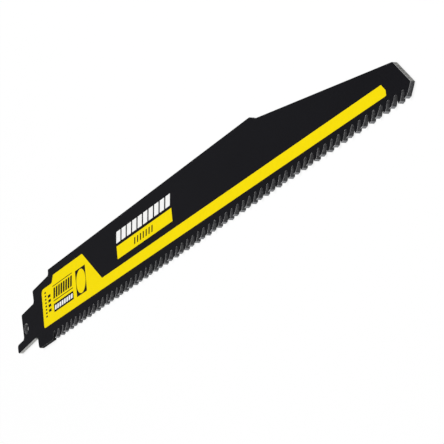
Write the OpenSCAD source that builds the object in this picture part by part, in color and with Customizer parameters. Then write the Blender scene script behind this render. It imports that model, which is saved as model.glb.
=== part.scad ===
// Reciprocating saw blade with carbide tips, for heavy cutting.
// One steel strip carries a row of small carbide tips and a print of coloured ink.
// The origin is the centre of the tang's pin hole, on the printed face.
// +X runs along the row of teeth to the nose, +Y to the back edge, +Z out of the printed face.

/* [Strip] */
// Thickness of the steel strip
strip_t = 1.4; // [1:0.05:2]
// Width from the tips of the teeth to the back edge
blade_w = 25.9; // [24:0.1:27]
// Height of the back edge above the pin hole's centre
back_rise = 15.4; // [14.6:0.1:16.5]
// Distance from the pin hole to the start of the full width
back_start = 25.7; // [22:0.5:40]
// Distance from the pin hole to the end of the straight back
back_end = 197.9; // [150:1:230]

/* [Tang] */
// Width of the tang, which is centred on the pin hole
tang_w = 12.7; // [11:0.1:14]
// Angle between the tang and the row of teeth, in degrees
tang_cant = 5; // [0:0.5:7]
// Diameter of the pin hole
hole_d = 4; // [3:0.1:5.5]
// Distance from the pin hole's centre to the end of the tang's full width
hole_to_end = 3.35; // [3.2:0.05:6]
// Distance from the pin hole's centre to the shoulders
hole_to_shoulder = 10.1; // [8:0.1:13]
// Length of the tongue beyond the tang's full width
tongue_l = 7.2; // [4:0.1:10]
// Width of the tongue
tongue_w = 3.3; // [2.6:0.1:5]
// Rounding of the tongue's end
tongue_r = 1.1; // [0.3:0.1:1.2]
// Fillet in the inner corners of the tang
tang_fillet = 1.2; // [0.5:0.1:1.5]
// Step up from the tang to the upper shoulder
shoulder_h = 4.7; // [3.5:0.1:5.5]
// Rounding of the outer corners of the tang and shoulders
corner_r = 0.5; // [0.2:0.1:0.8]

/* [Heel] */
// How far the flat heel stops short of the line of the tooth tips
heel_lift = 0.1; // [0:0.05:0.5]
// Rounding of the heel's corner
heel_r = 1.6; // [0.5:0.1:2.5]

/* [Nose] */
// Distance from the pin hole to the nose's foremost point
nose_reach = 294.2; // [270:0.1:310]
// Depth of the nose's foremost point below the pin hole's centre
nose_drop = 6.9; // [5:0.1:8]
// Length of the slanting chamfer above the nose, along the blade
chamfer_l = 8.2; // [4:0.1:10]
// Height of that chamfer
chamfer_h = 8.4; // [5:0.1:10]
// Rounding where the chamfer meets the tapered back
chamfer_r = 1.2; // [0.5:0.1:3]
// How far the end face leans back at the line of the tooth tips
end_lean = 2.6; // [0.5:0.1:3]
// Length of the short bevel between the straight and the tapered back
bevel_l = 3.6; // [1:0.1:6]
// Height of that bevel
bevel_h = 1.6; // [0.5:0.1:3]

/* [Teeth] */
// Pitch of the teeth: six to the inch
pitch = 4.2333; // [3.6:0.01:5.5]
// Distance from the pin hole to the tip of the first tooth
first_tip = 27.9; // [24.5:0.1:34]
// Depth of the gullets below the line of the tooth tips
gullet_depth = 2.75; // [1.9:0.05:3.2]
// Radius of the gullets
gullet_r = 0.9; // [0.6:0.05:1.1]
// Rake of the cutting faces, which look toward the tang, in degrees
rake = 5; // [0:1:12]
// Length of the ground land behind each cutting edge
land_l = 1.3; // [0.8:0.05:1.8]
// Relief angle of the land, in degrees
relief = 11; // [5:1:25]
// Sideways set of each tooth at its tip, in turn to one face and the other
tooth_set = 0.21; // [0.05:0.01:0.4]
// Depth of the gullets' bottoms beyond the line where the teeth bend
bend_offset = 0.15; // [0.05:0.05:0.5]

/* [Carbide tips] */
// Width of a tip across its cutting edge
tip_w = 1.6; // [1.5:0.05:2.2]
// Width of a tip on its seat
tip_seat_w = 1.5; // [1.45:0.05:2]
// Height of a tip above its seat
tip_h = 1; // [0.6:0.05:1.3]

/* [Print] */
// Thickness of the ink
ink_t = 0.04; // [0.02:0.01:0.1]
// Turn of the print against the row of teeth, in degrees
print_turn = -0.4; // [-1:0.05:0.5]
// Height of the lower edge of the band, against the pin hole's centre
band_y = -4.4; // [-5:0.05:-4]
// Width of the band
band_w = 3.82; // [2:0.1:5]
// Gap between the end of the band and the nose's foremost point
band_gap = 13.5; // [8:0.5:40]
// Cut-off corner at the end of the band
band_corner = 2.2; // [0.5:0.1:3]
// Distance from the pin hole to the start of the panel
panel_x = 18; // [16:0.1:19]
// Height of the panel's lower part above the band's lower edge
panel_low_h = 14.2; // [12.8:0.1:15]
// Height of the panel's upper part above the band's lower edge
panel_high_h = 16.8; // [15.5:0.1:18]
// Distance from the pin hole to the start of the label
label_x = 89.5; // [80:0.5:130]
// Length of the label bar
label_l = 46.6; // [30:0.1:60]
// Width of the label bar
label_w = 4.45; // [3:0.05:4.8]
// Gap between the band and the label bar
label_gap = 2.55; // [1.5:0.1:3]
// Height of the white blocks above the label bar
block_h = 3.8; // [2:0.1:4.5]
// Gap between the label bar and the white blocks
block_gap = 1.05; // [0.5:0.05:1.5]
// Slant of the printed blocks from upright, in degrees
block_slant = 14; // [0:1:20]

/* [Hidden] */
$fn = 48;
arc_steps = 8;

coat_black = [0.1, 0.1, 0.11];
carbide_grey = [0.55, 0.56, 0.58];
ink_yellow = [0.98, 0.85, 0.02];
ink_white = [0.95, 0.95, 0.95];

// Heights of the lines that the teeth are built on
tip_y = back_rise - blade_w;
seat_y = tip_y + tip_h;
bend_y = tip_y + gullet_depth - bend_offset;
heel_y = tip_y + heel_lift;

// Centre of the gullet in front of a tooth's cutting face, from the tooth's tip.
// Faces and backs cut a little into the round, so that they meet it at a clean edge.
round_bite = 0.03;
bite_r = gullet_r - round_bite;
gullet_y = gullet_depth - gullet_r;
gullet_x = gullet_y * tan(rake) - bite_r / cos(rake);

// The last tooth keeps a land of this length in front of the end face
last_land = 0.8;
end_foot = nose_reach - end_lean;
tooth_count = floor((end_foot - last_land - first_tip) / pitch) + 1;

// Reach of cutting tools past the solids that they cut
over = 1;

// Slope of the set, in millimetres sideways for each millimetre below the bend
set_slope = tooth_set / (bend_y - tip_y);

// Places in the tang's own frame, turned into the blade's frame
function canted(u, v) = [u * cos(tang_cant) - v * sin(tang_cant),
                         u * sin(tang_cant) + v * cos(tang_cant)];
shoulder_v = tang_w / 2 + shoulder_h;
// Where the line of the shoulders crosses a height, and the upper slope a distance
function shoulder_x(y) = (hole_to_shoulder - y * sin(tang_cant)) / cos(tang_cant);
function slope_y(x) = (shoulder_v + x * sin(tang_cant)) / cos(tang_cant);
// Where the end face crosses a height
function end_x(y) = nose_reach - end_lean * (-nose_drop - y) / (-nose_drop - tip_y);

// A corner of an outline, rounded by an arc from the side of point a to that of point b
function unit(v) = v / norm(v);
function arc_points(centre, r, start, sweep) =
    [for (i = [0 : arc_steps])
        let (angle = start + sweep * i / arc_steps)
        centre + r * [cos(angle), sin(angle)]];
function round_corner(a, p, b, r) =
    let (to_a = unit(a - p),
         to_b = unit(b - p),
         half = acos(to_a * to_b) / 2,
         centre = p + unit(to_a + to_b) * r / sin(half),
         from = p + to_a * r / tan(half) - centre,
         to = p + to_b * r / tan(half) - centre)
    arc_points(centre, r, atan2(from.y, from.x),
               atan2(from.x * to.y - from.y * to.x, from * to));
// An outline from a list of corners, each with its place and its radius
function outline(corners) =
    let (n = len(corners),
         places = [for (c = corners) c[0]])
    [for (i = [0 : n - 1])
        let (r = corners[i][1])
        each r > 0
            ? round_corner(places[(i + n - 1) % n], places[i], places[(i + 1) % n], r)
            : [places[i]]];

tang_low = -tang_w / 2;
tongue_end = -hole_to_end - tongue_l;
chamfer_x = nose_reach - chamfer_l;
chamfer_y = chamfer_h - nose_drop;
first_gullet = first_tip + gullet_x;

module strip_outline() {
    polygon(outline([
        [canted(tongue_end, tang_low), tongue_r],
        [canted(hole_to_shoulder, tang_low), tang_fillet],
        [[shoulder_x(heel_y), heel_y], heel_r],
        [[first_gullet, heel_y], 0],
        [[first_gullet, seat_y], 0],
        [[end_x(seat_y), seat_y], 0],
        [[nose_reach, -nose_drop], 0],
        [[chamfer_x, chamfer_y], chamfer_r],
        [[back_end + bevel_l, back_rise - bevel_h], 0],
        [[back_end, back_rise], 0],
        [[back_start, back_rise], corner_r],
        [[back_start, slope_y(back_start)], tang_fillet],
        [canted(hole_to_shoulder, shoulder_v), corner_r],
        [canted(hole_to_shoulder, tang_w / 2), tang_fillet],
        [canted(-hole_to_end, tang_w / 2), corner_r],
        [canted(-hole_to_end, tang_low + tongue_w), tang_fillet],
        [canted(tongue_end, tang_low + tongue_w), tongue_r],
    ]));
}

// Points of a tooth, from its tip at the origin: the land, and the back that falls into the next round
land_end = [land_l, land_l * tan(relief)];
to_round = [gullet_x + pitch, gullet_y] - land_end;
back_slope = atan2(to_round.y, to_round.x) + asin(bite_r / norm(to_round));
back_dir = [cos(back_slope), sin(back_slope)];
function face_at(y) = [y * tan(rake), y];
function back_at(y) = land_end + back_dir * (y - land_end.y) / back_dir.y;

module at_tooth(k) {
    translate([first_tip + k * pitch, tip_y]) children();
}

// The space in front of a cutting face: a round bottom, the face, and the back of the tooth before
module gullet() {
    shift = [pitch, 0];
    centre = [gullet_x, gullet_y];
    start = land_end - shift;
    foot = start + back_dir * ((centre - start) * back_dir);
    translate(centre) circle(gullet_r);
    polygon([face_at(-over), face_at(gullet_y), foot, back_at(-over) - shift]);
}

module steel_profile() {
    difference() {
        strip_outline();
        for (k = [0 : tooth_count - 1]) at_tooth(k) gullet();
        circle(d = hole_d);
    }
}

// The flat part of the steel: all above the bend, and the whole tang and heel
module flat_profile() {
    difference() {
        steel_profile();
        translate([first_gullet, seat_y - over])
            square([nose_reach, bend_y - seat_y + over]);
    }
}

// The steel of every second tooth below the bend, from the given one on
module tooth_profiles(first) {
    intersection() {
        steel_profile();
        for (k = [first : 2 : tooth_count - 1])
            at_tooth(k) translate([gullet_x, tip_h - over])
                square([pitch, bend_y - seat_y + over]);
    }
}

// A bar along the whole row of teeth, with the given section of heights and depths
module along_row(section) {
    rotate([90, 0, 90]) linear_extrude(nose_reach + over) polygon(section);
}

// Depth of a tooth's middle plane, at a height below the bend
function middle(side, y) = -strip_t / 2 + side * set_slope * (bend_y - y);

module set_steel(first, side) {
    low = seat_y - over;
    shift = middle(side, low) + strip_t / 2;
    intersection() {
        translate([0, 0, -strip_t - over])
            linear_extrude(strip_t + 2 * over) tooth_profiles(first);
        along_row([[bend_y, -strip_t], [bend_y, 0], [low, shift], [low, shift - strip_t]]);
    }
}

module blade_body() {
    color(coat_black) {
        translate([0, 0, -strip_t]) linear_extrude(strip_t) flat_profile();
        set_steel(0, 1);
        set_steel(1, -1);
    }
}

// The outline of a tip: cutting face, land, back and seat, cut off at the end face
module tip_profiles(first) {
    intersection() {
        for (k = [first : 2 : tooth_count - 1])
            at_tooth(k) polygon([face_at(0), land_end, back_at(tip_h), face_at(tip_h)]);
        polygon([[0, tip_y - over], [end_x(tip_y - over), tip_y - over],
                 [end_x(seat_y), seat_y], [0, seat_y]]);
    }
}

module carbide_tips(first, side) {
    tip_half = tip_w / 2;
    seat_half = tip_seat_w / 2;
    color(carbide_grey) intersection() {
        translate([0, 0, -strip_t - over])
            linear_extrude(strip_t + 2 * over) tip_profiles(first);
        along_row([
            [tip_y, middle(side, tip_y) - tip_half],
            [tip_y, middle(side, tip_y) + tip_half],
            [seat_y, middle(side, seat_y) + seat_half],
            [seat_y, middle(side, seat_y) - seat_half]]);
    }
}

module carbide_tips_front() {
    carbide_tips(0, 1);
}

module carbide_tips_back() {
    carbide_tips(1, -1);
}

// Heights and places of the print, in its own slightly turned frame
band_top = band_y + band_w;
band_end = nose_reach - band_gap;
panel_low = band_y + panel_low_h;
panel_high = band_y + panel_high_h;
panel_step = 10.4;
panel_step_run = 2;
panel_fall = (panel_high - band_top) * 1.23;
panel_top_x = panel_x + panel_step + panel_step_run;
panel_r = 1.8;
print_r = 0.8;
label_y = band_top + label_gap;

module panel_outline() {
    polygon(outline([
        [[panel_x, band_y], print_r],
        [[band_end, band_y], print_r / 2],
        [[band_end, band_top - band_corner], print_r],
        [[band_end - band_corner, band_top], print_r / 2],
        [[panel_top_end + panel_fall, band_top], 0],
        [[panel_top_end, panel_high], print_r],
        [[panel_top_x, panel_high], print_r],
        [[panel_top_x - panel_step_run, panel_low], print_r],
        [[panel_x, panel_low], panel_r],
    ]));
}

// A row of slanting blocks, from its lower left corner
module block_row(count, step, block_w, height) {
    lean = height * tan(block_slant);
    for (i = [0 : count - 1]) translate([i * step, 0])
        polygon([[0, 0], [block_w, 0], [block_w + lean, height], [lean, height]]);
}

// Plain marks on the panel, where the dark steel shows through the yellow ink
mark_x = panel_x + 10.9;
mark_l = 19.1;
hatch_y = band_y + 8.2;
hatch_h = 3.8;
hatch_count = 8;
hatch_fill = 0.68;
rule_t = 0.3;
rule_gap = 0.65;
strip_mark_y = band_y + 3.3;
strip_mark_h = 3;
strip_mark_inset = 0.7;
disc_box = 9.4;
disc_box_x = mark_x + mark_l + 3.1;
disc_box_y = strip_mark_y - 0.2;
disc_r = 4.3;
panel_top_end = disc_box_x + disc_box - 1.8;
dash_x = panel_x + 2.7;
dash_count = 8;
dash_step = 1.25;
dash_size = [1.5, 0.6];
bar_x = panel_x + 5.8;
bar_count = 4;
bar_step = 1.75;
bar_size = [2.6, 1];

hatch_lean = hatch_h * tan(block_slant);
hatch_step = (mark_l - hatch_lean) / (hatch_count - 1 + hatch_fill);

module panel_marks() {
    translate([mark_x, hatch_y]) block_row(hatch_count, hatch_step, hatch_step * hatch_fill, hatch_h);
    for (y = [hatch_y - rule_gap - rule_t, hatch_y + hatch_h + rule_gap])
        translate([mark_x, y]) square([mark_l, rule_t]);
    translate([mark_x, strip_mark_y]) square([mark_l, strip_mark_h]);
    difference() {
        translate([disc_box_x, disc_box_y]) square(disc_box);
        translate([disc_box_x + disc_box / 2, disc_box_y + disc_box / 2]) circle(disc_r);
    }
    for (i = [0 : dash_count - 1])
        translate([dash_x, strip_mark_y + i * dash_step]) square(dash_size);
    for (i = [0 : bar_count - 1])
        translate([bar_x, strip_mark_y + dash_step + i * bar_step]) square(bar_size);
}

// Small marks in the middle of the label bar
label_mark_h = label_w / 2;
label_mark_count = 7;
label_mark_step = 2.45;
label_mark_w = 1;
label_mark_l = label_mark_count * label_mark_step;

module label_bar() {
    difference() {
        square([label_l, label_w]);
        translate([(label_l - label_mark_l) / 2, (label_w - label_mark_h) / 2])
            block_row(label_mark_count, label_mark_step, label_mark_w, label_mark_h);
    }
}

module ink() {
    rotate(print_turn) linear_extrude(ink_t) children();
}

module yellow_print() {
    color(ink_yellow) {
        ink() difference() {
            panel_outline();
            panel_marks();
        }
        ink() translate([label_x, label_y]) label_bar();
    }
}

// White blocks above the label bar, and smaller ones in the dark strip on the panel
block_count = 10;
block_fill = 0.76;
block_lean = block_h * tan(block_slant);
block_step = (label_l - block_lean) / (block_count - 1 + block_fill);
small_count = 8;
small_fill = 0.7;
small_h = strip_mark_h - 2 * strip_mark_inset;
small_lean = small_h * tan(block_slant);
small_l = mark_l - 2 * strip_mark_inset;
small_step = (small_l - small_lean) / (small_count - 1 + small_fill);

module white_print() {
    color(ink_white) ink() {
        translate([label_x, label_y + label_w + block_gap])
            block_row(block_count, block_step, block_step * block_fill, block_h);
        translate([mark_x + strip_mark_inset, strip_mark_y + strip_mark_inset])
            block_row(small_count, small_step, small_step * small_fill, small_h);
    }
}

blade_body();
carbide_tips_front();
carbide_tips_back();
yellow_print();
white_print();
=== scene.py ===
import math

import bpy
from mathutils import Matrix, Vector


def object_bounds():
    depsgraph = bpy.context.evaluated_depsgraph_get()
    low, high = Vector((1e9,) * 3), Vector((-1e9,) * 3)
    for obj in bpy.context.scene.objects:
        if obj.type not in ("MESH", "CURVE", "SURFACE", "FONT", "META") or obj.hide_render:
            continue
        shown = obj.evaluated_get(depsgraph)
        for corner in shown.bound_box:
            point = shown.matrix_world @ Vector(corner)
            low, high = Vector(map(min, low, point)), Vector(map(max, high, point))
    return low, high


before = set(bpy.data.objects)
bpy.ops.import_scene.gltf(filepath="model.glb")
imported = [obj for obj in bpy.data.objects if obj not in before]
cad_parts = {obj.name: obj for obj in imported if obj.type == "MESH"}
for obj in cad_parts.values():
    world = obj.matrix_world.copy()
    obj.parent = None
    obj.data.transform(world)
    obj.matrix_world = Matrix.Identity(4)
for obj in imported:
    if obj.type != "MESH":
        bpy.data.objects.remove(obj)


def box_lists():
    """The whole object's box as plain lists of numbers."""
    return [[float(value) for value in corner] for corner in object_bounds()]


cad_box = box_lists()
MM = 0.001


def shade(colour, factor):
    """A lighter or darker version of a colour."""
    return tuple(factor * part for part in colour[:3]) + (1,)


# Node helpers
class Shader:
    """A small builder for one node material."""

    def __init__(self, name):
        self.material = bpy.data.materials.new(name)
        self.material.use_nodes = True
        self.tree = self.material.node_tree
        self.tree.nodes.clear()
        self.output = self.add("ShaderNodeOutputMaterial")

    def add(self, kind, **settings):
        node = self.tree.nodes.new(kind)
        for key, value in settings.items():
            setattr(node, key, value)
        return node

    def link(self, source, target):
        self.tree.links.new(source, target)

    def put(self, value, socket):
        """A number goes on the socket itself, and an output is linked to it."""
        if isinstance(value, bpy.types.NodeSocket):
            self.link(value, socket)
        else:
            socket.default_value = value

    def math(self, operation, a, b=0.0, clamp=False):
        node = self.add("ShaderNodeMath", operation=operation, use_clamp=clamp)
        self.put(a, node.inputs[0])
        self.put(b, node.inputs[1])
        return node.outputs[0]

    def ramp(self, value, low, high, out_low=0.0, out_high=1.0):
        """Maps low..high to out_low..out_high, smoothly and clamped."""
        node = self.add("ShaderNodeMapRange", interpolation_type="SMOOTHSTEP")
        self.put(value, node.inputs["Value"])
        node.inputs["From Min"].default_value = low
        node.inputs["From Max"].default_value = high
        node.inputs["To Min"].default_value = out_low
        node.inputs["To Max"].default_value = out_high
        return node.outputs["Result"]

    def mix(self, factor, a, b):
        """A colour between a and b."""
        node = self.add("ShaderNodeMix", data_type="RGBA")
        self.put(factor, node.inputs["Factor"])
        self.put(a, node.inputs["A"])
        self.put(b, node.inputs["B"])
        return node.outputs["Result"]

    def place(self, stretch=(1, 1, 1)):
        """The object's own coordinates in metres, stretched along each axis."""
        coords = self.add("ShaderNodeTexCoord")
        mapping = self.add("ShaderNodeMapping")
        mapping.inputs["Scale"].default_value = stretch
        self.link(coords.outputs["Object"], mapping.inputs["Vector"])
        return mapping.outputs["Vector"]

    def axes(self, vector):
        node = self.add("ShaderNodeSeparateXYZ")
        self.link(vector, node.inputs[0])
        return node.outputs

    def normal(self):
        return self.axes(self.add("ShaderNodeTexCoord").outputs["Normal"])

    def noise(self, scale, detail=3.0, stretch=(1, 1, 1), roughness=0.5):
        node = self.add("ShaderNodeTexNoise")
        node.inputs["Scale"].default_value = scale
        node.inputs["Detail"].default_value = detail
        node.inputs["Roughness"].default_value = roughness
        self.link(self.place(stretch), node.inputs["Vector"])
        return node.outputs["Fac"]

    def rim(self, radius):
        """One on the stretch of a wall next to the printed face's edge, and zero elsewhere."""
        node = self.add("ShaderNodeBevel", samples=8)
        node.inputs["Radius"].default_value = radius
        return self.ramp(self.axes(node.outputs["Normal"])[2], 0.02, 0.35)

    def bump(self, height, distance, strength=1.0):
        node = self.add("ShaderNodeBump")
        node.inputs["Distance"].default_value = distance
        node.inputs["Strength"].default_value = strength
        self.link(height, node.inputs["Height"])
        return node.outputs["Normal"]

    def surface(self, **sockets):
        """The principled shader, with each named socket set or linked."""
        shader = self.add("ShaderNodeBsdfPrincipled")
        for key, value in sockets.items():
            self.put(value, shader.inputs[key.replace("_", " ")])
        self.link(shader.outputs[0], self.output.inputs["Surface"])
        return self.material


# Colours, linear
COAT = (0.0078, 0.0077, 0.0094, 1)
EDGE_COAT = (0.110, 0.110, 0.114, 1)
SHANK_COAT = (0.016, 0.016, 0.017, 1)
# Near-white painted highlight along the cut edges, partly coat worn off them
EDGE_HIGHLIGHT_AND_WEAR = (0.90, 0.90, 0.90, 1)
NOSE_STEEL = (0.23, 0.23, 0.22, 1)
TANG_STEEL = (0.52, 0.52, 0.50, 1)
GROUND_CARBIDE = (0.25, 0.255, 0.265, 1)
YELLOW = (0.896, 0.704, 0.004, 1)
WHITE = (0.88, 0.88, 0.87, 1)

# Places on the blade, in metres, in the frame's own axes
NOSE_START = 284 * MM
TANG_ROOT = 9 * MM
HEEL_END = 27 * MM
HOLE_REACH = 2.2 * MM
# Depths on the cut walls between which painted shade darkens them towards the back face
WALL_FOOT = -1.3 * MM
WALL_TOP = -0.2 * MM
RIM_WIDTH = 0.26 * MM


def coated_steel():
    """Black coat, thin on the cut walls, with painted shade lower down the walls and a painted highlight
    with some wear along their edge, over steel ground bare on the nose and under the tang.
    """
    s = Shader("coated_steel")
    nx, ny, nz = s.normal()
    px, py, pz = s.axes(s.place())
    wall = s.ramp(s.math("ABSOLUTE", nz), 0.6, 0.4)
    grain = s.noise(1400, 4)
    patches = s.noise(60, 2, (0.4, 1, 1))
    mottle = s.ramp(s.noise(1700, 3), 0.35, 0.65)
    lines = s.noise(260, 2, (1, 1, 9))

    # The faces, and the walls with their bright rim (painted highlight with some wear), both darker on the
    # shank and heel
    cloud = s.math("ADD", s.math("MULTIPLY", patches, 0.3), s.math("MULTIPLY", grain, 0.7))
    face = s.mix(cloud, shade(COAT, 0.6), shade(COAT, 1.4))
    from_hole = s.math("ADD", s.math("MULTIPLY", px, px), s.math("MULTIPLY", py, py))
    off_hole = s.ramp(from_hole, HOLE_REACH ** 2, (HOLE_REACH + 0.2 * MM) ** 2)
    shank = s.math("MULTIPLY", s.ramp(px, HEEL_END, HEEL_END - MM), off_hole)
    # Coat mottle plus painted shade: the walls go darker from the printed face towards the back face
    mottle_and_painted_shade = s.math("ADD", s.math("MULTIPLY", mottle, 0.45), s.ramp(pz, WALL_FOOT, WALL_TOP, 0.0, 0.55))
    cut = s.mix(mottle_and_painted_shade, shade(EDGE_COAT, 0.4), shade(EDGE_COAT, 1.6))
    # Bright rim along the printed face's edge: a painted highlight, partly wear, stronger on walls facing
    # down and weaker on the shank and heel
    rim = s.rim(RIM_WIDTH)
    highlight_facing_down = s.ramp(ny, -0.68, -0.9, 0.55, 1.0)
    highlight_and_wear = s.math("MULTIPLY", s.math("MULTIPLY", rim, highlight_facing_down), s.ramp(shank, 0.0, 1.0, 1.0, 0.25))
    coat = s.mix(wall, face, s.mix(highlight_and_wear, s.mix(shank, cut, SHANK_COAT), EDGE_HIGHLIGHT_AND_WEAR))

    # Bare steel on the nose's chamfer and under the tang
    on_nose = s.ramp(px, NOSE_START, NOSE_START + MM)
    chamfer = s.math("MULTIPLY", s.ramp(nx, 0.4, 0.55), s.ramp(ny, 0.3, 0.5))
    chamfer = s.math("MULTIPLY", on_nose, chamfer)
    under_tang = s.math("MULTIPLY", s.ramp(px, TANG_ROOT, TANG_ROOT - 2 * MM), s.ramp(ny, -0.8, -0.95))
    bare = s.math("MULTIPLY", s.math("MAXIMUM", chamfer, under_tang), wall)
    nose_steel = s.mix(mottle, shade(NOSE_STEEL, 0.6), shade(NOSE_STEEL, 1.4))
    # The chamfer's edge gets the same painted highlight
    nose_steel = s.mix(s.math("MULTIPLY", rim, 0.6), nose_steel, EDGE_HIGHLIGHT_AND_WEAR)
    tang_steel = s.mix(lines, shade(TANG_STEEL, 0.8), shade(TANG_STEEL, 1.2))
    steel = s.mix(under_tang, nose_steel, tang_steel)

    rough = s.math("ADD", s.math("MULTIPLY", grain, 0.12), 0.44)
    return s.surface(Base_Color=s.mix(bare, coat, steel), Roughness=rough,
                     Metallic=s.math("MULTIPLY", bare, 0.5), Specular_IOR_Level=0.005,
                     Normal=s.bump(grain, 0.01 * MM))


def carbide():
    """Coated on its flanks and ground bare on the land of each tip, with a painted highlight and some wear
    along the edges of the land and back.
    """
    s = Shader("carbide")
    ny, nz = s.normal()[1:]
    land = s.ramp(ny, -0.75, -0.9)
    flank = s.ramp(s.math("ABSOLUTE", nz), 0.4, 0.6)
    # Painted highlight, with some wear, along the edges of the land and back
    highlight_and_wear = s.math("MULTIPLY", s.rim(RIM_WIDTH), s.ramp(flank, 0.0, 1.0, 0.65, 0.0))
    grain = s.noise(1800, 3)
    lines = s.noise(500, 2, (1, 1, 6))

    ground = s.mix(lines, shade(GROUND_CARBIDE, 0.7), shade(GROUND_CARBIDE, 1.3))
    ground = s.mix(highlight_and_wear, ground, EDGE_HIGHLIGHT_AND_WEAR)
    mottle = s.ramp(s.noise(1700, 3), 0.35, 0.65)
    back = s.mix(mottle, shade(EDGE_COAT, 0.7), shade(EDGE_COAT, 1.2))
    coat = s.mix(flank, s.mix(highlight_and_wear, back, EDGE_HIGHLIGHT_AND_WEAR), s.mix(grain, shade(COAT, 0.6), shade(COAT, 1.4)))
    rough = s.math("ADD", s.math("MULTIPLY", grain, 0.2), 0.34)
    return s.surface(Base_Color=s.mix(land, coat, ground), Roughness=rough,
                     Metallic=s.math("MULTIPLY", land, 0.6), Specular_IOR_Level=0.005,
                     Normal=s.bump(lines, 0.01 * MM))


def ink(name, colour):
    """Screen-printed ink with a slight mottle."""
    s = Shader(name)
    mottle = s.noise(500, 4)
    rough = s.math("ADD", s.math("MULTIPLY", mottle, 0.15), 0.4)
    return s.surface(Base_Color=s.mix(mottle, shade(colour, 0.95), shade(colour, 1.05)), Roughness=rough,
                     Specular_IOR_Level=0.005, Normal=s.bump(mottle, 0.01 * MM))


def dress(node, material):
    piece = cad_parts[node]
    piece.data.materials.clear()
    piece.data.materials.append(material)


dress("blade_body", coated_steel())
tips = carbide()
dress("carbide_tips_front", tips)
dress("carbide_tips_back", tips)
dress("yellow_print", ink("yellow_ink", YELLOW))
dress("white_print", ink("white_ink", WHITE))


# Stage
FLOOR_GLOW = 0.85
SKY_LOW = 0.05
SKY_HIGH = 0.62


def sees_background(tree):
    """One on the camera's own rays and on those of reflections and glass, zero on the rays that light."""
    path = tree.nodes.new("ShaderNodeLightPath")
    seen = path.outputs["Is Camera Ray"]
    for ray in ("Is Glossy Ray", "Is Transmission Ray"):
        either = tree.nodes.new("ShaderNodeMath")
        either.operation = "MAXIMUM"
        tree.links.new(seen, either.inputs[0])
        tree.links.new(path.outputs[ray], either.inputs[1])
        seen = either.outputs[0]
    return seen


def white_floor():
    """A white floor that still takes the object's shadow."""
    s = Shader("floor")
    seen = sees_background(s.tree)
    diffuse = s.add("ShaderNodeBsdfDiffuse")
    s.link(s.mix(seen, (0.8, 0.8, 0.8, 1), (0.97, 0.97, 0.97, 1)), diffuse.inputs["Color"])
    glow = s.add("ShaderNodeEmission")
    blend = s.add("ShaderNodeMixShader")
    s.link(s.math("MULTIPLY", seen, FLOOR_GLOW), blend.inputs[0])
    s.link(diffuse.outputs[0], blend.inputs[1])
    s.link(glow.outputs[0], blend.inputs[2])
    s.link(blend.outputs[0], s.output.inputs["Surface"])
    return s.material


floor_z = cad_box[0][2]
bpy.ops.mesh.primitive_plane_add(size=6, location=(0.14, 0, floor_z))
floor = bpy.context.object
floor.name = "floor"
floor.data.materials.append(white_floor())


def studio_sky():
    """Bright overhead and dark towards the horizon, and plain white to the camera."""
    world = bpy.data.worlds.new("studio")
    world.use_nodes = True
    tree = world.node_tree
    background = tree.nodes["Background"]
    coords = tree.nodes.new("ShaderNodeTexCoord")
    split = tree.nodes.new("ShaderNodeSeparateXYZ")
    tree.links.new(coords.outputs["Generated"], split.inputs[0])
    rise = tree.nodes.new("ShaderNodeMapRange")
    rise.interpolation_type = "SMOOTHSTEP"
    rise.inputs["From Min"].default_value = 0.35
    rise.inputs["From Max"].default_value = 0.85
    rise.inputs["To Min"].default_value = SKY_LOW
    rise.inputs["To Max"].default_value = SKY_HIGH
    tree.links.new(split.outputs["Z"], rise.inputs["Value"])
    level = tree.nodes.new("ShaderNodeMath")
    level.operation = "MAXIMUM"
    tree.links.new(sees_background(tree), level.inputs[0])
    tree.links.new(rise.outputs["Result"], level.inputs[1])
    tree.links.new(level.outputs[0], background.inputs["Strength"])
    background.inputs["Color"].default_value = (1, 1, 1, 1)
    bpy.context.scene.world = world


studio_sky()


def lamp(name, place, target, size, power):
    data = bpy.data.lights.new(name, "AREA")
    data.shape = "DISK"
    data.size = size
    data.energy = power
    obj = bpy.data.objects.new(name, data)
    bpy.context.scene.collection.objects.link(obj)
    obj.location = place
    obj.rotation_euler = (Vector(target) - Vector(place)).to_track_quat("-Z", "Y").to_euler()
    return obj


MIDDLE = (0.14, 0, 0)
lamp("key", (0.3, 0.3, 1.3), MIDDLE, 0.9, 13)

# Camera
CAM_TARGET = Vector((171.93, -9.91, 0)) * MM
CAM_DISTANCE = 776.56 * MM
CAM_AZIMUTH = math.radians(72.880)
CAM_ELEVATION = math.radians(25.127)
CAM_ROLL = math.radians(88.523)
CAM_SENSOR = 36
CAM_LENS = 204.26

camera_data = bpy.data.cameras.new("camera")
camera_data.sensor_width = CAM_SENSOR
camera_data.lens = CAM_LENS
camera_data.clip_start = 0.01
camera = bpy.data.objects.new("camera", camera_data)
bpy.context.scene.collection.objects.link(camera)
offset = Vector((math.sin(CAM_AZIMUTH) * math.cos(CAM_ELEVATION),
                 -math.cos(CAM_AZIMUTH) * math.cos(CAM_ELEVATION),
                 math.sin(CAM_ELEVATION))) * CAM_DISTANCE
look = (-offset).to_track_quat("-Z", "Y").to_matrix().to_4x4()
camera.matrix_world = (Matrix.Translation(CAM_TARGET + offset) @ look
                       @ Matrix.Rotation(-CAM_ROLL, 4, "Z"))
bpy.context.scene.camera = camera

scene = bpy.context.scene
scene.view_settings.view_transform = "Standard"
